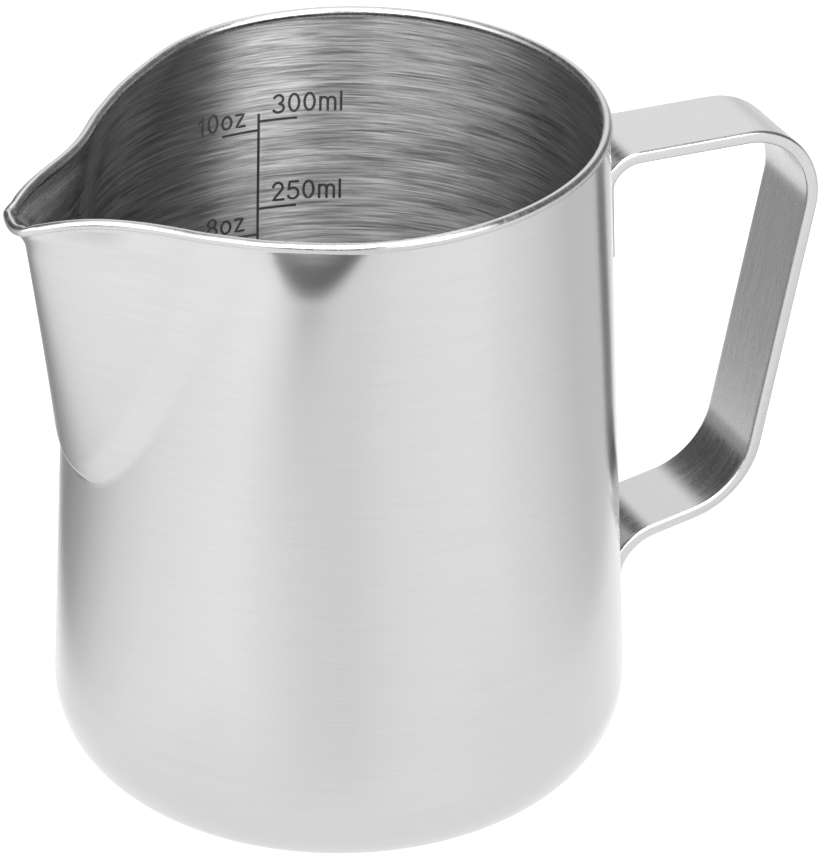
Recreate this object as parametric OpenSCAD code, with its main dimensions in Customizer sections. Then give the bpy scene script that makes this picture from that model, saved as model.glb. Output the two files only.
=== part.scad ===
// Milk frothing pitcher: a drawn steel cup with a pressed spout, and a bent strap handle
// spot-welded to its back. +Z is up, the origin is the centre of the base on the table,
// the handle points along +X and the spout along -X. Millimetres and degrees.

/* [Cup] */
// Height of the rim above the table
cup_h = 91.5; // [86:0.5:110]
// Outer diameter of the wall's line where it would meet the table
foot_d = 76.6; // [74:0.1:80]
// Outer diameter of the wall at the rim
mouth_d = 68.6; // [68:0.1:76]
// Thickness of the sheet
wall_t = 0.8; // [0.6:0.1:1.0]
// Outer radius of the corner between the base and the wall
corner_r = 11.3; // [9:0.1:14]
// Diameter of the rounded rim
rim_d = 1.4; // [1.2:0.1:1.6]

/* [Spout] */
// Height of the spout's lower end
tongue_z = 47.7; // [44:0.1:52]
// How far the spout's ridge stands off the wall just above its lower end
tongue_step = 1.2; // [1:0.1:2]
// Height over which the spout's lower end rounds out of the wall
tongue_round = 3; // [2:0.5:4]
// Outward lean of the ridge for each millimetre of height
ridge_lean = 0.147; // [0.1:0.005:0.18]
// Extra outward curl of the lip at the spout's tip
lip_flare = 1.9; // [0:0.1:2.5]
// How far the mouth is pulled in on both sides of the spout
mouth_pull = 5; // [3:0.1:6]
// How far the rim sags towards the spout
lip_sag = 3.3; // [0:0.1:4]
// Further drop of the lip at the spout's tip
tip_drop = 2.7; // [0:0.1:3.5]

/* [Handle] */
// Width of the strap
strap_w = 12.3; // [10:0.1:14]
// Thickness of the strap
strap_t = 1.7; // [1.2:0.1:2]
// Height at which the top of the strap leaves the cup
strap_top_z = 80.5; // [78:0.1:82]
// Height at which the foot of the strap leaves the cup
strap_foot_z = 23.2; // [20:0.1:26]
// Distance of the upper corner of the grip from the cup's axis
grip_top_x = 67.7; // [64:0.1:74]
// Distance of the lower corner of the grip from the cup's axis
grip_foot_x = 56.9; // [54:0.1:62]
// Length of each welded flange
flange_l = 12; // [10:0.5:14]
// Diameter of a spot weld
weld_d = 4; // [3:0.5:5]

/* [Hidden] */

steel = [0.80, 0.80, 0.81];
weld_steel = [0.68, 0.67, 0.66];

// The wall is a cone; its corner arc touches both the table and the cone.
wall_slope = (foot_d - mouth_d) / 2 / cup_h;
wall_tilt = atan(wall_slope);
corner_x = foot_d / 2 - wall_slope * corner_r - corner_r / cos(wall_tilt);
corner_top_z = corner_r * (1 + sin(wall_tilt));
rim_r = rim_d / 2;
rim_start = -acos(wall_t / rim_d);

// The rim's centre line, and how far around its sag and the tip's drop spread.
rim_z = cup_h - rim_r;
sag_angle = 75;
drop_angle = 7.5;

// Height of the lip's outward curl, and how the pulled-in mouth spreads around and down.
flare_h = 3.8;
pull_angle = 59;
pull_power = 2.05;

// The tongue's crease climbs with the square of the angle, and softens away from the middle.
tongue_curve = 0.02;
tongue_soften = 15;

// How far the wall curls in just under the rim on both sides of the spout, over what
// height, and where.
rim_curl = 0.8;
curl_h = 7;
curl_angle = 60;
curl_spread = 14;

// The ridge's plan shape: half-width of its rounding and reach of its flanks, in degrees,
// at the lower end and at the lip.
ridge_round_low = 30;
ridge_round_lip = 7.4;
ridge_reach_low = 6;
ridge_reach_lip = 9.3;

function clamp(v) = max(0, min(1, v));
function mix(a, b, t) = a + (b - a) * t;
function bell(angle, width) = exp(-pow(angle / width, 2));
function wall_r(z) = foot_d / 2 - wall_slope * z;
function lip_z(a) = rim_z - lip_sag * bell(a, sag_angle) - tip_drop * bell(a, drop_angle);
function rise(z) = clamp((z - tongue_z) / (rim_z - tongue_z));
function pull(a, z) = mouth_pull * pow(rise(z), pull_power) * bell(a, pull_angle);
function curl(a, z) =
    let (near_lip = clamp(1 - (lip_z(a) - z) / curl_h))
    rim_curl * near_lip * near_lip * bell(abs(a) - curl_angle, curl_spread);
function flare(z) = lip_flare * pow(clamp(1 - (lip_z(0) - z) / flare_h), 2);
function ridge_r(z) =
    wall_r(tongue_z) + tongue_step + ridge_lean * (z - tongue_z) + flare(z);
function ridge_shape(a, t) =
    let (round = mix(ridge_round_low, ridge_round_lip, t),
         reach = mix(ridge_reach_low, ridge_reach_lip, t))
    exp(-(norm([a, round]) - round) / reach);
function tongue_reach(a) = tongue_round * (1 + pow(a / tongue_soften, 2));
function tongue_edge(a, z) =
    1 - pow(1 - clamp((z - tongue_z - tongue_curve * a * a) / tongue_reach(a)), 2);
function ridge(a, z) =
    (ridge_r(z) - wall_r(z) + pull(0, z)) * ridge_shape(a, rise(z)) * tongue_edge(a, z);

// Outer radius of the cup at height z and at angle a from the middle of the spout.
function cup_r(a, z) = wall_r(z) - pull(a, z) - curl(a, z) + ridge(a, z);

// Angles of the cup's vertical lines, closer together at the spout.
half_angles = concat([for (a = [2:2:12]) a], [for (a = [16:4:32]) a], [for (a = [40:10:170]) a]);
half_count = len(half_angles);
angles = concat([0], half_angles, [180], [for (i = [half_count - 1:-1:0]) -half_angles[i]]);
around = len(angles);

// Fractions of the wall's height for its level lines, closer at the tongue and the lip.
levels = concat([0.15, 0.3, 0.4], [for (t = [0.44:0.02:0.54]) t],
                [for (t = [0.6:0.08:0.84]) t], [0.9, 0.94, 0.97, 1]);

function place(r, a, z) = [-r * cos(a), r * sin(a), z];
function corner_ring(turn) = [
    for (a = angles)
        place(corner_x + corner_r * cos(turn), a, corner_r * (1 + sin(turn)))
];
function wall_ring(t) = [
    for (a = angles)
        let (top = lip_z(a) + rim_r * sin(rim_start), z = mix(corner_top_z, top, t))
        place(cup_r(a, z), a, z)
];
corner_steps = 6;
skin = concat(
    [for (i = [0:corner_steps]) corner_ring(mix(-90, wall_tilt, i / corner_steps))],
    [for (t = levels) wall_ring(t)]
);
rings = len(skin);

function unit(v) = v / norm(v);
function ring_at(j) = skin[max(0, min(rings - 1, j))];
function skin_normal(j, k) = j == 0 ? [0, 0, -1] :
    unit(cross(ring_at(j)[(k + around - 1) % around] - ring_at(j)[(k + 1) % around],
               ring_at(j + 1)[k] - ring_at(j - 1)[k]));
function skin_up(j, k) = unit(ring_at(j)[k] - ring_at(j - 1)[k]);
inner_skin = [
    for (j = [0:rings - 1])
        [for (k = [0:around - 1]) skin[j][k] - wall_t * skin_normal(j, k)]
];

// The rounded rim turns from the outer skin over to the inner skin.
rim_steps = 6;
function rim_ring(i) = [
    for (k = [0:around - 1])
        let (n = skin_normal(rings - 1, k),
             up = skin_up(rings - 1, k),
             turn = mix(rim_start, 180 - rim_start, i / rim_steps),
             middle = skin[rings - 1][k] - wall_t / 2 * n - rim_r * sin(rim_start) * up)
        middle + rim_r * (cos(turn) * n + sin(turn) * up)
];

// The cup is one closed surface: up the outer skin, over the rim, down the inner skin,
// with a flat face under the base and another on the floor inside.
cup_rings = concat(
    skin,
    [for (i = [1:rim_steps - 1]) rim_ring(i)],
    [for (j = [rings - 1:-1:0]) inner_skin[j]]
);
cup_count = len(cup_rings);
function disc(first, step) = [for (k = [1:around]) first + (step * k + around) % around];
module cup_body() {
    points = [for (ring = cup_rings) for (p = ring) p];
    sides = [
        for (j = [0:cup_count - 2]) for (k = [0:around - 1])
            let (a = j * around + k, b = j * around + (k + 1) % around)
            each [[a, b, b + around], [a, b + around, a + around]]
    ];
    faces = concat([disc(0, -1)], sides, [disc((cup_count - 1) * around, 1)]);
    color(steel) polyhedron(points, faces);
}

// The strap's centre line in the XZ plane: flange, top, grip, foot and flange, with
// rounded corners. The flanges lie on the cup's wall.
contact_gap = 0.05;
top_bend_r = 4;
grip_top_bend_r = 10;
grip_foot_bend_r = 11.3;
foot_bend_r = 6.2;
grip_top_z = strap_top_z - 0.6;
grip_foot_z = strap_foot_z + 3.6;
bend_steps = 8;
function flange_x(z) = wall_r(z) + strap_t / 2 + contact_gap;
function flange_point(z) = [flange_x(z), z];
path_corners = [
    flange_point(strap_top_z - flange_l - strap_t),
    flange_point(strap_top_z),
    [grip_top_x, grip_top_z],
    [grip_foot_x, grip_foot_z],
    flange_point(strap_foot_z),
    flange_point(strap_foot_z - flange_l)
];
path_bends = [0, top_bend_r, grip_top_bend_r, grip_foot_bend_r, foot_bend_r, 0];

function bend_points(a, b, c, r) =
    let (u = unit(a - b), v = unit(c - b), half = acos(u * v) / 2,
         centre = b + unit(u + v) * r / sin(half),
         from = b + u * r / tan(half) - centre,
         side = sign(cross([u[0], u[1], 0], [v[0], v[1], 0])[2]),
         sweep = -side * (180 - 2 * half))
    [for (i = [0:bend_steps])
        let (turn = sweep * i / bend_steps)
        centre + [from[0] * cos(turn) - from[1] * sin(turn),
                  from[0] * sin(turn) + from[1] * cos(turn)]];
strap_path = concat(
    [path_corners[0]],
    [for (i = [1:4])
        each bend_points(path_corners[i - 1], path_corners[i], path_corners[i + 1],
                         path_bends[i])],
    [path_corners[5]]
);
stations = len(strap_path);

// The strap's section: a flat bar with rounded edges. Where it is a flange it curves to
// lie on the cup, and the curve fades out as it leaves the wall.
edge_r = 0.4;
section_cuts = 2;
half_w = strap_w / 2 - edge_r;
half_t = strap_t / 2 - edge_r;
across = [for (i = [-section_cuts:section_cuts]) half_w * i / section_cuts];
function edge_point(side, turn) = [
    side * (half_w + edge_r * cos(turn)),
    half_t * sign(turn) + edge_r * sin(turn)
];
section = concat(
    [for (y = across) [y, half_t + edge_r]],
    [for (turn = [45:-45:-45]) edge_point(1, turn)],
    [for (i = [2 * section_cuts:-1:0]) [across[i], -half_t - edge_r]],
    [for (turn = [-45:45:45]) edge_point(-1, turn)]
);
section_count = len(section);
fade_x = 5;
function path_side(i) =
    let (d = unit(strap_path[min(stations - 1, i + 1)] - strap_path[max(0, i - 1)]))
    [-d[1], d[0]];
function hug(p) = clamp(1 - (p[0] - flange_x(p[1])) / fade_x);
function sag_of(y, z) = let (r = wall_r(z)) r - sqrt(r * r - y * y);
function strap_point(i, s) =
    let (p = strap_path[i], n = path_side(i), q = p + n * s[1],
         drop = sag_of(s[0], p[1]) * pow(hug(p), 2))
    [q[0] - drop, s[0], q[1]];

module handle_strap() {
    points = [for (i = [0:stations - 1]) for (s = section) strap_point(i, s)];
    m = section_count;
    faces = concat(
        [[for (k = [0:m - 1]) k]],
        [for (i = [0:stations - 2]) for (k = [0:m - 1])
            let (a = i * m + k, b = i * m + (k + 1) % m)
            each [[a, a + m, b + m], [a, b + m, b]]],
        [[for (k = [m - 1:-1:0]) (stations - 1) * m + k]]
    );
    color(steel) polyhedron(points, faces);
}

// Two spot welds side by side join each flange to the wall: lens-shaped discs of fused
// metal that reach into both sheets.
weld_spacing = 5.6;
weld_depth = 1.2;
weld_drop = flange_l * 0.62;
module spot_welds(z) {
    for (side = [-1, 1])
        rotate([0, 0, side * asin(weld_spacing / 2 / wall_r(z))])
        translate([wall_r(z) - weld_depth / 2, 0, z])
        rotate([0, 90 - wall_tilt, 0])
        cylinder(h = weld_depth, d = weld_d, $fn = 48);
}
module upper_spot_welds() {
    color(weld_steel) spot_welds(strap_top_z - strap_t - weld_drop);
}
module lower_spot_welds() {
    color(weld_steel) spot_welds(strap_foot_z - weld_drop);
}

cup_body();
handle_strap();
upper_spot_welds();
lower_spot_welds();
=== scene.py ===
"""A steel milk frothing pitcher: the drawn cup with its pressed spout, the bent strap handle,
the spot welds between them and the volume marks inside. Lengths are in millimetres until
the meshes are made, and the meshes are in metres."""

import math

import bpy
import numpy as np
from mathutils import Matrix, Vector


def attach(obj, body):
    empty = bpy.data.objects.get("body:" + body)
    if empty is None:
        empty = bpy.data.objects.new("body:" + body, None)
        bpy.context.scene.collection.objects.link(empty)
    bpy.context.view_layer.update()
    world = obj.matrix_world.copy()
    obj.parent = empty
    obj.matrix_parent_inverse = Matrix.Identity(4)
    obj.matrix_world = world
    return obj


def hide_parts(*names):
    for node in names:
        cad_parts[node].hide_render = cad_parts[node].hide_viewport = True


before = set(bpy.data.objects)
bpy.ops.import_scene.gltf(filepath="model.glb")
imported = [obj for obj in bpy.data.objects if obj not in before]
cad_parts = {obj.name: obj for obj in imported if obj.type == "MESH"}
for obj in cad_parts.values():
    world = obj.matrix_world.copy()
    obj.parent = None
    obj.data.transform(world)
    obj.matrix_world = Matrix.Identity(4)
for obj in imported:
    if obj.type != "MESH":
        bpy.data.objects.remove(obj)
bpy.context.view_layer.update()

MM = 0.001

# The cup, as in the CAD part. The foot diameter is the wall's line met with the table. The
# height and the diameter are a hair smaller, so that this finer mesh stays in the CAD's box.
CUP_H = 91.49
FOOT_D = 76.58
MOUTH_D = 68.6
WALL_T = 0.8
CORNER_R = 11.3
RIM_R = 0.7

# The spout: its lower end (the tongue), its ridge and the lip, and the mouth beside it.
TONGUE_Z = 47.7
TONGUE_STEP = 1.2
TONGUE_ROUND = 3.0
TONGUE_CURVE = 0.02
TONGUE_SOFTEN = 15.0
RIDGE_LEAN = 0.147
LIP_FLARE = 1.79
FLARE_H = 3.8
MOUTH_PULL = 5.0
PULL_ANGLE = 59.0
PULL_POWER = 2.05
LIP_SAG = 3.3
SAG_ANGLE = 75.0
TIP_DROP = 2.7
DROP_ANGLE = 7.5
RIM_CURL = 0.8
CURL_H = 7.0
CURL_ANGLE = 60.0
CURL_SPREAD = 14.0
# How round and how wide the ridge is, in degrees, at its lower end and at the lip.
RIDGE_ROUND = (30.0, 7.4)
RIDGE_REACH = (6.0, 9.3)

# The strap: width, thickness, the corners of its bent path and the radii of its bends.
STRAP_W = 12.3
STRAP_T = 1.7
STRAP_EDGE_R = 0.4
STRAP_TOP_Z = 80.5
STRAP_FOOT_Z = 23.2
GRIP_TOP = (67.69, 79.9)
GRIP_FOOT = (56.9, 26.8)
FLANGE_L = 12.0
BEND_RADII = (4.0, 10.0, 11.3, 6.2)
# Clearance between the flanges and the cup.
CONTACT_GAP = 0.05
# Distance from the wall over which the flanges' curve fades out of the strap.
FADE_X = 5.0
# The welds: diameter, spacing, and place along the flange.
WELD_D = 4.0
WELD_SPACING = 5.6
WELD_AT = 0.62

# Where the camera stands: millimetres and radians in a frame turned by HANDLE_TURN about
# the cup's axis, so that the view runs along +Y.
CAMERA_AT = (13.07, -646.9, 404.65)
CAMERA_PITCH = 0.5057
CAMERA_YAW = 0.0054
CAMERA_ROLL = 0.007
CAMERA_LENS = 247.8
SENSOR_W = 36.0
CAMERA_CLIP = (0.05, 20)
HANDLE_TURN = math.radians(25.0)

WALL_SLOPE = (FOOT_D - MOUTH_D) / 2 / CUP_H
WALL_TILT = math.atan(WALL_SLOPE)
CORNER_X = FOOT_D / 2 - WALL_SLOPE * CORNER_R - CORNER_R / math.cos(WALL_TILT)
CORNER_TOP_Z = CORNER_R * (1 + math.sin(WALL_TILT))
RIM_Z = CUP_H - RIM_R
RIM_START = -math.acos(WALL_T / 2 / RIM_R)


# ---------------------------------------------------------------- the cup's shape


def bell(angle, width):
    return np.exp(-((angle / width) ** 2))


def mix(a, b, t):
    return a + (b - a) * t


def wall_r(z):
    return FOOT_D / 2 - WALL_SLOPE * z


def lip_z(angle):
    """Height of the middle of the rim's bead at an angle from the middle of the spout."""
    return RIM_Z - LIP_SAG * bell(angle, SAG_ANGLE) - TIP_DROP * bell(angle, DROP_ANGLE)


def rise(z):
    return np.clip((z - TONGUE_Z) / (RIM_Z - TONGUE_Z), 0, 1)


def pull(angle, z):
    """How far the mouth is pulled in beside the spout."""
    return MOUTH_PULL * rise(z) ** PULL_POWER * bell(angle, PULL_ANGLE)


def curl(angle, z):
    """How far the top of the wall curls in beside the spout, just under the rim."""
    near_lip = np.clip(1 - (lip_z(angle) - z) / CURL_H, 0, 1)
    return RIM_CURL * near_lip**2 * bell(abs(angle) - CURL_ANGLE, CURL_SPREAD)


def ridge_r(z):
    flare = LIP_FLARE * np.clip(1 - (lip_z(0) - z) / FLARE_H, 0, 1) ** 2
    return wall_r(TONGUE_Z) + TONGUE_STEP + RIDGE_LEAN * (z - TONGUE_Z) + flare


def ridge_shape(angle, t):
    rounding = mix(*RIDGE_ROUND, t)
    return np.exp(-(np.hypot(angle, rounding) - rounding) / mix(*RIDGE_REACH, t))


def crease_z(angle):
    """Height of the crease where the spout's lower end rises out of the wall."""
    return TONGUE_Z + TONGUE_CURVE * angle * angle


def tongue_edge(angle, z):
    reach = TONGUE_ROUND * (1 + (angle / TONGUE_SOFTEN) ** 2)
    return 1 - (1 - np.clip((z - crease_z(angle)) / reach, 0, 1)) ** 2


def ridge(angle, z):
    height = ridge_r(z) - wall_r(z) + pull(0, z)
    return height * ridge_shape(angle, rise(z)) * tongue_edge(angle, z)


def cup_r(angle, z):
    """Outer radius at a height and at an angle, in degrees, from the middle of the spout."""
    return wall_r(z) - pull(angle, z) - curl(angle, z) + ridge(angle, z)


def place(r, angle, z):
    """Points at radius r and an angle from the middle of the spout, which is along -X."""
    turn = np.radians(angle)
    return np.stack(np.broadcast_arrays(-r * np.cos(turn), r * np.sin(turn), z), axis=-1)


def unit(v):
    return v / np.linalg.norm(v, axis=-1, keepdims=True)


def skin_point(angle, z):
    return place(cup_r(angle, z), angle, z)


def wall_normal(angle, z):
    """Outward normal of the outer skin."""
    step_a, step_z = 0.05, 0.02
    across = skin_point(angle + step_a, z) - skin_point(angle - step_a, z)
    up = skin_point(angle, z + step_z) - skin_point(angle, z - step_z)
    return unit(np.cross(up, across))


# ---------------------------------------------------------------- meshes


def mesh_object(name, points, faces, materials, face_slots=None, smooth=True):
    """An object from points in millimetres, placed in the scene."""
    mesh = bpy.data.meshes.new(name)
    mesh.from_pydata((points * MM).tolist(), [], faces)
    for material in materials:
        mesh.materials.append(material)
    if face_slots is not None:
        mesh.polygons.foreach_set("material_index", face_slots)
    mesh.polygons.foreach_set("use_smooth", [smooth] * len(mesh.polygons))
    mesh.update()
    piece = bpy.data.objects.new(name, mesh)
    bpy.context.scene.collection.objects.link(piece)
    return piece


def add_attribute(piece, name, values, kind):
    """Writes one value or vector for each vertex, for the materials to read."""
    made = piece.data.attributes.new(name, kind, "POINT")
    made.data.foreach_set(
        "vector" if kind == "FLOAT_VECTOR" else "value",
        np.asarray(values, np.float32).ravel(),
    )


def band_faces(first, count_across, second):
    """Quads between two closed rings of the same number of points."""
    k = np.arange(count_across)
    n = (k + 1) % count_across
    return np.stack([first + k, first + n, second + n, second + k], axis=1)


def spaced(low, high, count):
    """Evenly spaced values, without the last one."""
    return low + (high - low) * np.arange(count) / count


# The cup's mesh: lines up the wall, closer together over the spout's half angle, and rows.
SPOUT_HALF = 50.0
SPOUT_LINES = 200
BACK_LINES = 190
CORNER_ROWS = 24
LOW_ROWS = 40
TONGUE_ROWS = 16
HIGH_ROWS = 80
RIM_ROWS = 20
DISC_ROWS = 10
# The rows that follow the crease stay this far below the rim.
CREASE_CLEAR = 14.0
NEARLY_ZERO = 1e-6


def cup_angles():
    """Angles of the lines up the wall, from -180 to 180 degrees."""
    spout = spaced(-SPOUT_HALF, SPOUT_HALF, SPOUT_LINES)
    back = spaced(SPOUT_HALF, 360 - SPOUT_HALF, BACK_LINES)
    return (np.concatenate([spout, back]) + 180) % 360 - 180


def cup_skin(angle):
    """The outer skin's points from the table to the rim, row by row, with its normals."""
    rows, normals = [], []
    for t in np.arange(CORNER_ROWS) / CORNER_ROWS:
        turn = mix(-math.pi / 2, WALL_TILT, t)
        r = CORNER_X + CORNER_R * math.cos(turn)
        rows.append(place(r, angle, CORNER_R * (1 + math.sin(turn))))
        normals.append(place(math.cos(turn), angle, math.sin(turn)))
    top = lip_z(angle) + RIM_R * math.sin(RIM_START)
    crease = np.minimum(crease_z(angle), top - CREASE_CLEAR)
    shoulder = crease + TONGUE_ROUND
    low = np.full_like(angle, CORNER_TOP_Z)
    for start, end, count in (
        (low, crease, LOW_ROWS),
        (crease, shoulder, TONGUE_ROWS),
        (shoulder, top, HIGH_ROWS),
    ):
        for t in spaced(0, 1, count):
            z = mix(start, end, t)
            rows.append(skin_point(angle, z))
            normals.append(wall_normal(angle, z))
    rows.append(skin_point(angle, top))
    normals.append(wall_normal(angle, top))
    return np.array(rows), np.array(normals)


def cup_rim(skin, normals):
    """The rounded rim's rows, from the outer skin over to the inner skin."""
    n = normals[-1]
    up = unit(skin[-1] - skin[-2])
    middle = skin[-1] - WALL_T / 2 * n - RIM_R * math.sin(RIM_START) * up
    rows = []
    for t in spaced(0, 1, RIM_ROWS)[1:]:
        turn = mix(RIM_START, math.pi - RIM_START, t)
        rows.append(middle + RIM_R * (math.cos(turn) * n + math.sin(turn) * up))
    return np.array(rows)


def disc_rows(ring):
    """Rows from a ring towards its centre, in its plane."""
    centre = np.array([0, 0, ring[0, 2]])
    return np.array([mix(ring, centre, t) for t in spaced(0, 1, DISC_ROWS)[1:]])


def around_grain(points):
    """Coordinates for brushing around the axis: a point on the unit circle, and the height,
    with the distance in from the corner added on the flat faces."""
    r = np.hypot(points[:, 0], points[:, 1])
    circle = points[:, :2] / np.maximum(r, NEARLY_ZERO)[:, None]
    return np.column_stack([circle, points[:, 2] + np.maximum(CORNER_X - r, 0)])


def fan(centre, ring, after):
    """Triangles between a point and the edges from a ring's points to the ones after them."""
    return np.stack([np.full(len(ring), centre), ring, after], axis=1).tolist()


def make_cup(outside, rim, inside):
    """The cup as one closed skin, with a slot each for the outside, the rim and the inside."""
    angle = cup_angles()
    skin, normals = cup_skin(angle)
    bead = cup_rim(skin, normals)
    inner = (skin - WALL_T * normals)[::-1]
    base = disc_rows(skin[0])[::-1]
    floor = disc_rows(inner[-1])
    rows = np.concatenate([base, skin, bead, inner, floor])
    around = len(angle)
    count = len(rows)
    bottom = count * around
    centres = [[0, 0, 0], [0, 0, rows[-1, 0, 2]]]
    points = np.concatenate([rows.reshape(-1, 3), centres])
    rim_from = len(base) + len(skin) - 1
    rim_to = rim_from + len(bead) + 1
    faces, slots = [], []
    for j in range(count - 1):
        faces += band_faces(j * around, around, (j + 1) * around)[:, ::-1].tolist()
        slots += [0 if j < rim_from else 1 if j < rim_to else 2] * around
    ring = np.arange(around)
    after = (ring + 1) % around
    last = (count - 1) * around
    faces += fan(bottom, ring, after)
    faces += fan(bottom + 1, last + after, last + ring)
    slots += [0] * around + [2] * around
    piece = mesh_object("cup_shell", points, faces, (outside, rim, inside), slots)
    add_attribute(piece, "grain", around_grain(points), "FLOAT_VECTOR")
    z = rows[:, :, 2]
    pressed = ridge_shape(angle[None], rise(z)) * tongue_edge(angle[None], z)
    add_attribute(piece, "pressed", np.append(pressed.ravel(), [0, 0]), "FLOAT")
    return piece


# ---------------------------------------------------------------- the strap


STRAP_BEND_STEPS = 28
STRAP_CELL = 0.4
STRAP_EDGE_STEPS = 5
DIMPLE_DEPTH = 0.12
# A point is on a flange's outer side where it is this share of the thickness out from the
# middle, and where the strap hugs the cup at least this closely.
OUTER_SIDE = 0.45
CLOSE_HUG = 0.9


def flange_x(z):
    return wall_r(z) + STRAP_T / 2 + CONTACT_GAP


def flange_point(z):
    return np.array([flange_x(z), z])


def line_points(a, b):
    """Points from a towards b, one cell apart, without b."""
    count = max(1, int(np.linalg.norm(b - a) / STRAP_CELL))
    return [mix(a, b, t) for t in spaced(0, 1, count)]


def bend_points(a, b, c, r):
    """Points on the arc of radius r that rounds the corner at b."""
    u, v = unit(a - b), unit(c - b)
    half = math.acos(float(u @ v)) / 2
    centre = b + unit(u + v) * r / math.sin(half)
    start = b + u * r / math.tan(half) - centre
    side = -math.copysign(1, u[0] * v[1] - u[1] * v[0])
    points = []
    for t in np.linspace(0, 1, STRAP_BEND_STEPS + 1):
        turn = side * (math.pi - 2 * half) * t
        cos, sin = math.cos(turn), math.sin(turn)
        spoke = [start[0] * cos - start[1] * sin, start[0] * sin + start[1] * cos]
        points.append(centre + np.array(spoke))
    return points


def strap_path():
    """The strap's centre line in the XZ plane: flange, top, grip, foot and flange."""
    corners = [
        flange_point(STRAP_TOP_Z - FLANGE_L - STRAP_T),
        flange_point(STRAP_TOP_Z),
        np.array(GRIP_TOP),
        np.array(GRIP_FOOT),
        flange_point(STRAP_FOOT_Z),
        flange_point(STRAP_FOOT_Z - FLANGE_L),
    ]
    path = []
    here = corners[0]
    for i, radius in enumerate(BEND_RADII):
        bend = bend_points(corners[i], corners[i + 1], corners[i + 2], radius)
        path += line_points(here, bend[0]) + bend[:-1]
        here = bend[-1]
    return np.array(path + line_points(here, corners[-1]) + [corners[-1]])


def strap_section():
    """The flat bar's outline: (across, out) pairs going round, with rounded edges."""
    half_w = STRAP_W / 2 - STRAP_EDGE_R
    half_t = STRAP_T / 2 - STRAP_EDGE_R
    across = np.linspace(-half_w, half_w, int(2 * half_w / STRAP_CELL) + 1)
    top = [(y, STRAP_T / 2) for y in across]
    turns = np.linspace(math.pi / 2, 0, STRAP_EDGE_STEPS + 1)[1:]
    corner = [
        (half_w + STRAP_EDGE_R * math.cos(t), half_t + STRAP_EDGE_R * math.sin(t)) for t in turns
    ]
    right = corner + [(y, -out) for y, out in corner[::-1]]
    bottom = [(-y, -out) for y, out in top]
    left = [(-y, -out) for y, out in right]
    return np.array(top + right + bottom + left)


def dimples(points_y, points_z):
    """Depth of the round electrode marks over the welds."""
    depth = np.zeros_like(points_z)
    for foot in (STRAP_TOP_Z - STRAP_T, STRAP_FOOT_Z):
        z = foot - FLANGE_L * WELD_AT
        for side in (-1, 1):
            away = np.hypot(points_y - side * WELD_SPACING / 2, points_z - z) / (WELD_D / 2)
            depth += DIMPLE_DEPTH * np.clip(1 - away**4, 0, 1)
    return depth


def make_strap(material):
    """The bent strap. Its flanges take the cup's curve and bear the marks of the welding."""
    path = strap_path()
    section = strap_section()
    ahead = np.roll(path, -1, axis=0) - np.roll(path, 1, axis=0)
    ahead[0] = path[1] - path[0]
    ahead[-1] = path[-1] - path[-2]
    ahead = unit(ahead)
    side = np.stack([-ahead[:, 1], ahead[:, 0]], axis=1)
    y = np.broadcast_to(section[:, 0], (len(path), len(section)))
    out = section[:, 1]
    hug = np.clip(1 - (path[:, 0] - flange_x(path[:, 1])) / FADE_X, 0, 1) ** 2
    radius = wall_r(path[:, 1])[:, None]
    drop = (radius - np.sqrt(radius**2 - y**2)) * hug[:, None]
    x = path[:, 0:1] + side[:, 0:1] * out - drop
    z = path[:, 1:2] + side[:, 1:2] * out
    outer = (x > path[:, 0:1] - drop + STRAP_T * OUTER_SIDE) & (hug[:, None] > CLOSE_HUG)
    x = x - dimples(y, z) * outer
    points = np.stack([x, y, z], axis=-1).reshape(-1, 3)
    around = len(section)
    faces = []
    for i in range(len(path) - 1):
        faces += band_faces(i * around, around, (i + 1) * around)[:, ::-1].tolist()
    last = (len(path) - 1) * around
    faces.append(list(range(around)))
    faces.append([last + k for k in range(around)][::-1])
    piece = mesh_object("strap_bent", points, faces, (material,))
    steps = np.linalg.norm(np.diff(path, axis=0), axis=1)
    length = np.concatenate([[0], np.cumsum(steps)])
    grain = np.stack(np.broadcast_arrays(length[:, None], y, out[None]), axis=-1)
    add_attribute(piece, "grain", grain.reshape(-1, 3), "FLOAT_VECTOR")
    return piece


# ---------------------------------------------------------------- the volume marks


# Where the scale stands inside the cup: the angle of its line from the middle of the
# spout, and the heights of its ticks.
SCALE_ANGLE = 95.6
SCALE_TOP_Z = 76.1
SCALE_FOOT_Z = 30.0
STROKE_W = 0.36
MARK_RAISE = 0.03
MARK_SINK = 0.02
GLYPH_H = 2.6
GLYPH_GAP = 0.52
LABEL_LIFT = 1.0
TICK_L = 5.1
# Distance from the scale's line to a label, and between the points along a stroke.
LABEL_GAP = 2.0
MARK_STEP = 0.5
MILLILITRES = (("300ml", 75.1), ("250ml", 61.8), ("200ml", 49.3), ("150ml", 37.3))
OUNCES = (("10oz", 73.8), ("8oz", 57.9), ("6oz", 43.4))


def arc(cx, cy, rx, ry, start, end, steps=14):
    """Points along an ellipse between two angles in degrees."""
    turns = np.radians(np.linspace(start, end, steps + 1))
    return [(cx + rx * math.cos(t), cy + ry * math.sin(t)) for t in turns]


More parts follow.
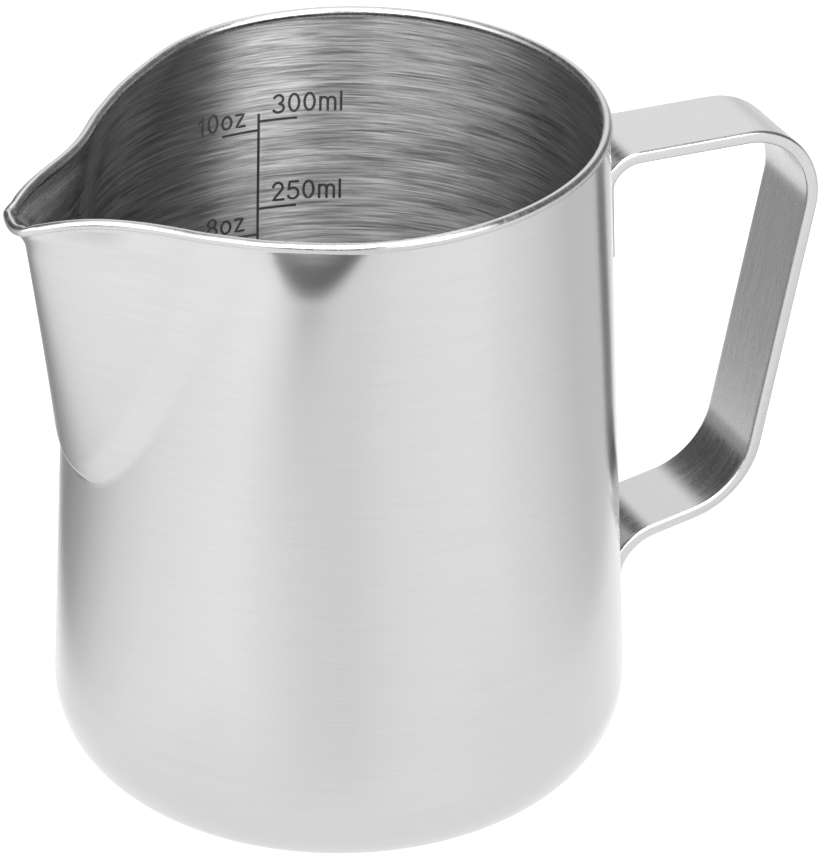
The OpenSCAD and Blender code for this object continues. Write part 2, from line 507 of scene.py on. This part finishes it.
# Each letter is (width, strokes) for a height of one; the strokes are lines of points.
GLYPHS = {
    "0": (0.6, [arc(0.3, 0.5, 0.26, 0.5, 0, 360)]),
    "1": (0.42, [[(0.08, 0.74), (0.3, 1.0), (0.3, 0.0)]]),
    "2": (
        0.6,
        [arc(0.3, 0.72, 0.25, 0.28, 165, -25) + [(0.04, 0.0), (0.58, 0.0)]],
    ),
    "3": (0.6, [arc(0.28, 0.75, 0.24, 0.25, 150, -90) + arc(0.28, 0.25, 0.28, 0.25, 90, -150)]),
    "5": (
        0.6,
        [[(0.54, 1.0), (0.12, 1.0), (0.07, 0.52)] + arc(0.29, 0.32, 0.28, 0.32, 125, -150)],
    ),
    "6": (0.6, [arc(0.38, 0.52, 0.32, 0.48, 75, 190), arc(0.3, 0.3, 0.25, 0.3, 0, 360)]),
    "8": (0.6, [arc(0.3, 0.76, 0.22, 0.24, 0, 360), arc(0.3, 0.26, 0.27, 0.26, 0, 360)]),
    "m": (
        0.84,
        [
            [(0.06, 0.0), (0.06, 0.72)],
            arc(0.25, 0.52, 0.19, 0.2, 180, 0) + [(0.44, 0.0)],
            arc(0.63, 0.52, 0.19, 0.2, 180, 0) + [(0.82, 0.0)],
        ],
    ),
    "l": (0.16, [[(0.08, 0.0), (0.08, 1.0)]]),
    "o": (0.6, [arc(0.3, 0.36, 0.26, 0.36, 0, 360)]),
    "z": (0.5, [[(0.04, 0.7), (0.46, 0.7), (0.03, 0.0), (0.49, 0.0)]]),
}


def label_width(text):
    return sum(GLYPHS[c][0] for c in text) * GLYPH_H + GLYPH_GAP * (len(text) - 1)


def label_strokes(text, left, foot):
    """A label's strokes: lines of (right, height) points in millimetres on the wall."""
    strokes = []
    x = left
    for letter in text:
        width, lines = GLYPHS[letter]
        for line in lines:
            strokes.append([(x + px * GLYPH_H, foot + pz * GLYPH_H) for px, pz in line])
        x += width * GLYPH_H + GLYPH_GAP
    return strokes


def scale_strokes():
    """The scale's lines, ticks and labels. Right is towards the handle."""
    strokes = [[(0, SCALE_FOOT_Z), (0, SCALE_TOP_Z)]]
    for text, z in MILLILITRES:
        strokes.append([(0, z), (TICK_L, z)])
        strokes += label_strokes(text, LABEL_GAP, z + LABEL_LIFT)
    for text, z in OUNCES:
        strokes.append([(-TICK_L, z), (0, z)])
        strokes += label_strokes(text, -label_width(text) - LABEL_GAP, z + LABEL_LIFT)
    return strokes


def refined(line, step):
    """The same line with points at most one step apart."""
    points = []
    for a, b in zip(line[:-1], line[1:]):
        a, b = np.array(a), np.array(b)
        count = max(1, math.ceil(np.linalg.norm(b - a) / step))
        points += [mix(a, b, t) for t in spaced(0, 1, count)]
    return np.array(points + [np.array(line[-1])])


def on_inner_wall(flat, lift):
    """Points of the inner wall, lifted off it, from (right, height) on the wall."""
    z = flat[:, 1]
    angle = SCALE_ANGLE + np.degrees(flat[:, 0] / (wall_r(z) - WALL_T))
    return skin_point(angle, z) - (WALL_T + lift) * wall_normal(angle, z)


def stroke_solid(line):
    """A closed thin bar along a line on the wall: its points and faces."""
    flat = refined(line, MARK_STEP)
    ahead = unit(np.gradient(flat, axis=0))
    side = np.stack([-ahead[:, 1], ahead[:, 0]], axis=1) * STROKE_W / 2
    flat[0] -= ahead[0] * STROKE_W / 2
    flat[-1] += ahead[-1] * STROKE_W / 2
    left, right = flat + side, flat - side
    rings = np.stack(
        [
            on_inner_wall(left, -MARK_SINK),
            on_inner_wall(right, -MARK_SINK),
            on_inner_wall(right, MARK_RAISE),
            on_inner_wall(left, MARK_RAISE),
        ],
        axis=1,
    )
    faces = []
    for i in range(len(rings) - 1):
        faces += band_faces(4 * i, 4, 4 * (i + 1))[:, ::-1].tolist()
    end = 4 * (len(rings) - 1)
    faces += [[0, 1, 2, 3], [end + 3, end + 2, end + 1, end]]
    return rings.reshape(-1, 3), faces


def make_marks(material):
    """All the scale's strokes as one piece."""
    points, faces = [], []
    count = 0
    for line in scale_strokes():
        solid, solid_faces = stroke_solid(line)
        faces += [[count + k for k in face] for face in solid_faces]
        points.append(solid)
        count += len(solid)
    return mesh_object("volume_marks", np.concatenate(points), faces, (material,), smooth=False)


# ---------------------------------------------------------------- materials


# Roughness of every noise along the grain, and the middle part of a noise's values.
NOISE_ROUGH = 0.6
NOISE_RANGE = (0.3, 0.7)


def new_material(name):
    material = bpy.data.materials.new(name)
    material.use_nodes = True
    nodes = material.node_tree.nodes
    return material, nodes, material.node_tree.links, nodes["Principled BSDF"]


def node(nodes, kind, **values):
    """A shader node with its properties set."""
    made = nodes.new("ShaderNode" + kind)
    for name, value in values.items():
        setattr(made, name, value)
    return made


def streaks(nodes, links, grain, scale, detail):
    """Noise stretched along the brushing, from the grain attribute."""
    mapping = node(nodes, "Mapping")
    mapping.inputs["Scale"].default_value = scale
    noise = node(nodes, "TexNoise")
    noise.inputs["Scale"].default_value = 1.0
    noise.inputs["Detail"].default_value = detail
    noise.inputs["Roughness"].default_value = NOISE_ROUGH
    links.new(grain.outputs["Vector"], mapping.inputs["Vector"])
    links.new(mapping.outputs["Vector"], noise.inputs["Vector"])
    return noise.outputs["Fac"]


def ranged(nodes, links, value, low, high, to_low, to_high):
    """A value mapped from one range to another, clamped."""
    made = node(nodes, "MapRange", clamp=True)
    made.inputs["From Min"].default_value = low
    made.inputs["From Max"].default_value = high
    made.inputs["To Min"].default_value = to_low
    made.inputs["To Max"].default_value = to_high
    links.new(value, made.inputs["Value"])
    return made.outputs["Result"]


def maths(nodes, links, operation, a, b):
    """The result of a sum on sockets or plain numbers."""
    made = node(nodes, "Math", operation=operation)
    for socket, value in zip(made.inputs, (a, b)):
        if isinstance(value, (int, float)):
            socket.default_value = value
        else:
            links.new(value, socket)
    return made.outputs["Value"]


def tinted(nodes, links, value, dark, light):
    """A colour between two tones."""
    ramp = node(nodes, "ValToRGB")
    ramp.color_ramp.elements[0].color = (*dark, 1)
    ramp.color_ramp.elements[1].color = (*light, 1)
    links.new(value, ramp.inputs["Fac"])
    return ramp.outputs["Color"]


def bumped(nodes, links, shader, height, distance):
    """Bumps of a height in metres on a shader."""
    bump = node(nodes, "Bump")
    bump.inputs["Strength"].default_value = 1.0
    bump.inputs["Distance"].default_value = distance
    links.new(height, bump.inputs["Height"])
    links.new(bump.outputs["Normal"], shader.inputs["Normal"])


# Brushing round the cup, as (scale, detail) of the noise: the scale is along the unit circle
# twice, then up the wall.
FINE_BRUSHING = ((5, 5, 5), 4)
BROAD_BRUSHING = ((2.2, 2.2, 1.0), 3)
HAIR_BRUSHING = ((11, 11, 12), 2)
BROAD_SHARE = 0.6
BRUSHING_RANGE = (0.6, 1.0)
# Share of the spout's pressing over which the brushing gives way to the smoother metal.
PRESSED_EDGE = (0.02, 0.12)
QUARTER_TURN = 0.25


def brushed_around(name, dark, light, rough, spread, depth, pressed_rough, stretch):
    """Steel brushed around the cup's axis. The pressed spout is smoother."""
    material, nodes, links, shader = new_material(name)
    grain = node(nodes, "Attribute", attribute_name="grain")
    pressed = node(nodes, "Attribute", attribute_name="pressed")
    fine = streaks(nodes, links, grain, *FINE_BRUSHING)
    broad = streaks(nodes, links, grain, *BROAD_BRUSHING)
    hair = streaks(nodes, links, grain, *HAIR_BRUSHING)
    both = maths(nodes, links, "ADD", fine, maths(nodes, links, "MULTIPLY", broad, BROAD_SHARE))
    spout = ranged(nodes, links, pressed.outputs["Fac"], *PRESSED_EDGE, 0, 1)
    body = maths(nodes, links, "SUBTRACT", 1, spout)
    tone = ranged(nodes, links, both, *BRUSHING_RANGE, 0, 1)
    links.new(tinted(nodes, links, tone, dark, light), shader.inputs["Base Color"])
    shader.inputs["Metallic"].default_value = 1
    streaked = ranged(nodes, links, both, *BRUSHING_RANGE, rough - spread, rough + spread)
    smoother = maths(nodes, links, "MULTIPLY", spout, rough - pressed_rough)
    links.new(maths(nodes, links, "SUBTRACT", streaked, smoother), shader.inputs["Roughness"])
    shader.inputs["Anisotropic"].default_value = stretch
    shader.inputs["Anisotropic Rotation"].default_value = QUARTER_TURN
    tangent = node(nodes, "Tangent", direction_type="RADIAL", axis="Z")
    links.new(tangent.outputs["Tangent"], shader.inputs["Tangent"])
    height = maths(nodes, links, "ADD", fine, hair)
    bumped(nodes, links, shader, maths(nodes, links, "MULTIPLY", height, body), depth)
    return material


# The rim's handling marks, as (scale, detail), and how they change its tone and roughness.
WEAR = ((30, 30, 1.5), 4)
WORN_SHARE = 0.93
SCUFF_SHARES = (0.7, 1.4)


def polished(name, tone, rough, depth):
    """Bright rolled edge with faint handling marks."""
    material, nodes, links, shader = new_material(name)
    grain = node(nodes, "Attribute", attribute_name="grain")
    wear = streaks(nodes, links, grain, *WEAR)
    worn = [WORN_SHARE * c for c in tone]
    links.new(tinted(nodes, links, wear, worn, tone), shader.inputs["Base Color"])
    shader.inputs["Metallic"].default_value = 1
    low, high = SCUFF_SHARES
    scuffed = ranged(nodes, links, wear, *NOISE_RANGE, rough * low, rough * high)
    links.new(scuffed, shader.inputs["Roughness"])
    bumped(nodes, links, shader, wear, depth)
    return material


# The strap's finish, as (scale, detail): the scale is along it, across it and through it.
LONG_BRUSHING = ((0.12, 2.2, 2.2), 4)
PEBBLE = ((1.3, 1.3, 1.3), 3)
PEBBLE_SHARE = 0.5
SATIN_RANGE = (0.55, 0.95)


def satin_strap(name, dark, light, rough, depth):
    """Flat bar with a lengthwise satin finish and a fine pebble from tumbling."""
    material, nodes, links, shader = new_material(name)
    grain = node(nodes, "Attribute", attribute_name="grain")
    along = streaks(nodes, links, grain, *LONG_BRUSHING)
    pebble = streaks(nodes, links, grain, *PEBBLE)
    both = maths(nodes, links, "ADD", along, maths(nodes, links, "MULTIPLY", pebble, PEBBLE_SHARE))
    tone = ranged(nodes, links, both, *SATIN_RANGE, 0, 1)
    links.new(tinted(nodes, links, tone, dark, light), shader.inputs["Base Color"])
    shader.inputs["Metallic"].default_value = 1
    links.new(ranged(nodes, links, both, *SATIN_RANGE, *rough), shader.inputs["Roughness"])
    bumped(nodes, links, shader, both, depth)
    return material


def mottled(name, scale, detail, dark, light, rough, depth):
    """A material with fine noise in its tone, roughness and height, and its shader."""
    material, nodes, links, shader = new_material(name)
    noise = node(nodes, "TexNoise")
    noise.inputs["Scale"].default_value = scale
    noise.inputs["Detail"].default_value = detail
    links.new(node(nodes, "TexCoord").outputs["Object"], noise.inputs["Vector"])
    value = noise.outputs["Fac"]
    links.new(tinted(nodes, links, value, dark, light), shader.inputs["Base Color"])
    links.new(ranged(nodes, links, value, *NOISE_RANGE, *rough), shader.inputs["Roughness"])
    bumped(nodes, links, shader, value, depth)
    return material, shader


def etched():
    """The marks' dull dark grey, slightly uneven."""
    material, shader = mottled("etched_grey", **ETCHED)
    shader.inputs["Specular IOR Level"].default_value = ETCHED_SPECULAR
    return material


def weld():
    """Fused metal, slightly darker and rougher than the sheets."""
    material, shader = mottled("fused_steel", **FUSED)
    shader.inputs["Metallic"].default_value = 1
    return material


# ---------------------------------------------------------------- floor, light, camera


# The table: its side in metres, its drop below the base in millimetres, and its look.
FLOOR_SIZE = 8.0
FLOOR_DROP = 0.05
FLOOR_DARK = (0.1, 0.1, 0.1)
FLOOR_LIGHT = (0.11, 0.11, 0.11)
FLOOR_SPECKLE = 40
FLOOR_ROUGH = 0.9
FLOOR_SPECULAR = 0.1
# The table's glow, which makes it white; further out it carries painted shade and light.
FLOOR_GLOW = 1.3
# Share of the glow close to the pitcher, where the table is evenly bright, and how far out, in
# metres, the painted shade and light below take over. The distance is measured from a line a
# little to the right of the cup's axis.
NEAR_SHARE = 0.8
NEAR_REACH = (0.058, 0.074)
NEAR_MIDDLE = 0.0105
# Share of the glow further out, at angles to the right of the camera's place: painted shade and
# light for the steel to reflect, with a painted shadow of the pitcher around -128.
FLOOR_PAINTED_LIGHT_AND_SHADE = (
    (-180, 0.65),
    (-160, 0.42),
    (-145, 0.22),
    (-128, 0.12),
    (-112, 0.28),
    (-99, 0.5),
    (-87, 0.7),
    (-70, 0.84),
    (-39, 0.93),
    (-23, 0.84),
    (-8, 0.74),
    (3, 0.71),
    (20, 0.78),
    (55, 0.87),
    (80, 0.73),
    (104, 0.53),
    (136, 0.5),
    (180, 0.65),
)
TENT_LIGHT = 9.0
# Brightness of the tent at angles to the right of the camera's place, seen from the cup.
TENT_TONES = (
    (-180, 0.145),
    (-168, 0.145),
    (-150, 0.022),
    (-120, 0.01),
    (-108, 0.02),
    (-95, 0.07),
    (-84, 0.14),
    (-73, 0.22),
    (-63, 0.32),
    (-50, 0.46),
    (-38, 0.44),
    (-30, 0.41),
    (-25, 0.5),
    (-20, 0.95),
    (-4, 0.95),
    (12, 0.9),
    (30, 0.84),
    (46, 1.0),
    (52, 0.6),
    (57, 0.1),
    (70, 0.02),
    (105, 0.02),
    (120, 0.03),
    (150, 0.03),
    (168, 0.145),
    (180, 0.145),
)
# Below this band of heights, as sines, the tent is no brighter than its foot's tone.
TENT_FOOT = (0.12, 0.36)
TENT_FOOT_TONE = 0.1
# Cosines of the angles over which the dark of the camera's own place fades in.
LENS_DARK = (0.94, 0.98)
LENS_TONE = 0.05
# A black card stands in front of the cup: its distance in metres, its angle to the right of
# the camera's place, its size, the rise of its lower edge from the middle to the sides, and
# its tone and roughness.
FLAG_AT = 0.29
FLAG_TURN = math.radians(-17.0)
FLAG_W = 0.16
FLAG_H = (0.024, 0.165)
FLAG_ARC = 0.07
FLAG_STEPS = 16
FLAG_BLACK = (0.01, 0.01, 0.01, 1)
FLAG_ROUGH = 0.9
# A lamp overhead: its place and side in metres, and its power in watts.
OVERHEAD_AT = (0, 0.1, 1.4)
OVERHEAD_SIZE = 1.2
OVERHEAD_POWER = 4


def level_turned(angle):
    """Level unit vector at an angle to the right of the camera's place, in the row frame."""
    x, y, _ = CAMERA_AT
    ahead = Vector((x, y, 0)).normalized()
    return Matrix.Rotation(angle - HANDLE_TURN, 3, "Z") @ ahead


def turned_ramp(nodes, links, right, ahead, tones):
    """Tones by the angle to the right of the camera's place, from two level components."""
    angle = maths(nodes, links, "ARCTAN2", right, ahead)
    turn = ranged(nodes, links, angle, -math.pi, math.pi, 0, 1)
    ramp = node(nodes, "ValToRGB")
    stops = ramp.color_ramp.elements
    while len(stops) < len(tones):
        stops.new(0.5)
    for stop, (degrees, tone) in zip(stops, tones):
        stop.position = (degrees + 180) / 360
        stop.color = (tone, tone, tone, 1)
    links.new(turn, ramp.inputs["Fac"])
    return ramp.outputs["Color"]


def dotted(nodes, links, vector, direction):
    dot = node(nodes, "VectorMath", operation="DOT_PRODUCT")
    links.new(vector, dot.inputs[0])
    dot.inputs[1].default_value = direction
    return dot.outputs["Value"]


def make_floor():
    """A light table that glows evenly near the pitcher, with painted shade and light in its glow
    further out.
    """
    half = FLOOR_SIZE / 2 / MM
    square = ((-half, -half), (half, -half), (half, half), (-half, half))
    corners = np.array([(x, y, -FLOOR_DROP) for x, y in square])
    material, nodes, links, shader = new_material("glowing_table_painted_shade")
    coordinate = node(nodes, "TexCoord").outputs["Object"]
    noise = node(nodes, "TexNoise")
    noise.inputs["Scale"].default_value = FLOOR_SPECKLE
    links.new(coordinate, noise.inputs["Vector"])
    base = tinted(nodes, links, noise.outputs["Fac"], FLOOR_DARK, FLOOR_LIGHT)
    links.new(base, shader.inputs["Base Color"])
    shader.inputs["Roughness"].default_value = FLOOR_ROUGH
    shader.inputs["Specular IOR Level"].default_value = FLOOR_SPECULAR
    right = dotted(nodes, links, coordinate, level_turned(math.pi / 2))
    ahead = dotted(nodes, links, coordinate, level_turned(0))
    # The glow's painted shade and light by angle, which the steel reflects.
    far = turned_ramp(nodes, links, right, ahead, FLOOR_PAINTED_LIGHT_AND_SHADE)
    offset = maths(nodes, links, "SUBTRACT", right, NEAR_MIDDLE)
    away = maths(nodes, links, "MAXIMUM", maths(nodes, links, "ABSOLUTE", offset, 0), ahead)
    share = ranged(nodes, links, away, *NEAR_REACH, 0, 1)
    step = maths(nodes, links, "MULTIPLY", maths(nodes, links, "SUBTRACT", far, NEAR_SHARE), share)
    # Emission with painted shade and light: even near the pitcher, shaded by angle further out.
    links.new(maths(nodes, links, "ADD", step, NEAR_SHARE), shader.inputs["Emission Color"])
    shader.inputs["Emission Strength"].default_value = FLOOR_GLOW
    floor = mesh_object("table_top", corners, [[0, 1, 2, 3]], (material,), smooth=False)


def make_flag():
    """A black card out of the picture, whose reflection darkens the wall under the rim. Its
    lower edge is an arc."""
    middle = level_turned(FLAG_TURN) * FLAG_AT
    across = level_turned(FLAG_TURN + math.pi / 2) * FLAG_W / 2
    low, high = FLAG_H
    foot = [(t, low + FLAG_ARC * t * t) for t in np.linspace(-1, 1, FLAG_STEPS + 1)]
    outline = [middle + across * t + Vector((0, 0, z)) for t, z in foot + [(1, high), (-1, high)]]
    material, _, _, shader = new_material("black_card")
    shader.inputs["Base Color"].default_value = FLAG_BLACK
    shader.inputs["Roughness"].default_value = FLAG_ROUGH
    points = np.array([tuple(corner) for corner in outline]) / MM
    flag = mesh_object("black_flag", points, [list(range(len(outline)))], (material,), smooth=False)
    flag.visible_camera = False


def make_world():
    """A light tent whose brightness differs from side to side."""
    world = bpy.data.worlds.new("tent")
    bpy.context.scene.world = world
    world.use_nodes = True
    nodes, links = world.node_tree.nodes, world.node_tree.links
    sky = node(nodes, "TexCoord").outputs["Generated"]
    right = dotted(nodes, links, sky, level_turned(math.pi / 2))
    ahead = dotted(nodes, links, sky, level_turned(0))
    ramp = turned_ramp(nodes, links, right, ahead, TENT_TONES)
    lens = level_turned(0) * math.cos(CAMERA_PITCH)
    lens.z = math.sin(CAMERA_PITCH)
    clear = ranged(nodes, links, dotted(nodes, links, sky, lens), *LENS_DARK, 1, LENS_TONE)
    lifted = ranged(nodes, links, dotted(nodes, links, sky, (0, 0, 1)), *TENT_FOOT, 0, 1)
    limit = ranged(nodes, links, lifted, 0, 1, TENT_FOOT_TONE, 1)
    tone = maths(nodes, links, "MULTIPLY", maths(nodes, links, "MINIMUM", ramp, limit), clear)
    background = nodes["Background"]
    background.inputs["Color"].default_value = (1, 1, 1, 1)
    links.new(maths(nodes, links, "MULTIPLY", tone, TENT_LIGHT), background.inputs["Strength"])


def make_overhead():
    """A soft square lamp above the pitcher."""
    light = bpy.data.lights.new("overhead", "AREA")
    light.shape = "SQUARE"
    light.size = OVERHEAD_SIZE
    light.energy = OVERHEAD_POWER
    lamp = bpy.data.objects.new("overhead", light)
    lamp.location = OVERHEAD_AT
    lamp.rotation_euler = Vector(OVERHEAD_AT).to_track_quat("Z", "Y").to_euler()
    bpy.context.scene.collection.objects.link(lamp)


def make_camera():
    camera = bpy.data.cameras.new("camera")
    camera.sensor_fit = "HORIZONTAL"
    camera.sensor_width = SENSOR_W
    camera.lens = CAMERA_LENS
    camera.clip_start, camera.clip_end = CAMERA_CLIP
    holder = bpy.data.objects.new("camera", camera)
    aim = (
        Matrix.Rotation(-HANDLE_TURN, 4, "Z")
        @ Matrix.Translation(Vector(CAMERA_AT) * MM)
        @ Matrix.Rotation(CAMERA_YAW, 4, "Z")
        @ Matrix.Rotation(math.pi / 2 - CAMERA_PITCH, 4, "X")
        @ Matrix.Rotation(CAMERA_ROLL, 4, "Z")
    )
    holder.matrix_world = aim
    bpy.context.scene.collection.objects.link(holder)
    bpy.context.scene.camera = holder


def restyle(name, material):
    """Gives a CAD node that stays its material."""
    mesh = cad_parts[name].data
    mesh.materials.clear()
    mesh.materials.append(material)


# The looks. Tones are linear, roughness is a Principled shader's, and depth is the bumps'
# height in metres.
OUTSIDE = dict(
    dark=(0.503, 0.5, 0.508),
    light=(0.52, 0.515, 0.525),
    rough=0.19,
    spread=0.008,
    depth=2e-7,
    pressed_rough=0.17,
    stretch=0.75,
)
INSIDE = dict(
    dark=(0.25, 0.25, 0.25),
    light=(0.52, 0.52, 0.52),
    rough=0.41,
    spread=0.07,
    depth=6e-6,
    pressed_rough=0.25,
    stretch=0.95,
)
STRAP = dict(
    dark=(0.50, 0.497, 0.505), light=(0.54, 0.535, 0.545), rough=(0.2, 0.32), depth=6e-6
)
ETCHED = dict(
    scale=900,
    detail=3,
    dark=(0.03, 0.03, 0.032),
    light=(0.055, 0.055, 0.057),
    rough=(0.5, 0.7),
    depth=4e-6,
)
ETCHED_SPECULAR = 0.15
FUSED = dict(
    scale=1500,
    detail=4,
    dark=(0.36, 0.35, 0.35),
    light=(0.55, 0.54, 0.53),
    rough=(0.4, 0.6),
    depth=2e-5,
)
RIM = dict(tone=(0.52, 0.52, 0.525), rough=0.24, depth=2e-6)

cup = make_cup(
    brushed_around("steel_outside", **OUTSIDE),
    polished("steel_rim", **RIM),
    brushed_around("steel_inside", **INSIDE),
)
strap = make_strap(satin_strap("satin_steel", **STRAP))
marks = make_marks(etched())
for piece, slot_name in ((cup, "brushed_cup"), (strap, "satin_strap"), (marks, "brushed_cup")):
    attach(piece, "root")
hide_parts("cup_body")
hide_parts("handle_strap")
fused = weld()
for weld_node in ("upper_spot_welds", "lower_spot_welds"):
    restyle(weld_node, fused)

make_floor()
make_flag()
make_world()
make_overhead()
make_camera()
bpy.context.scene.view_settings.view_transform = "Standard"
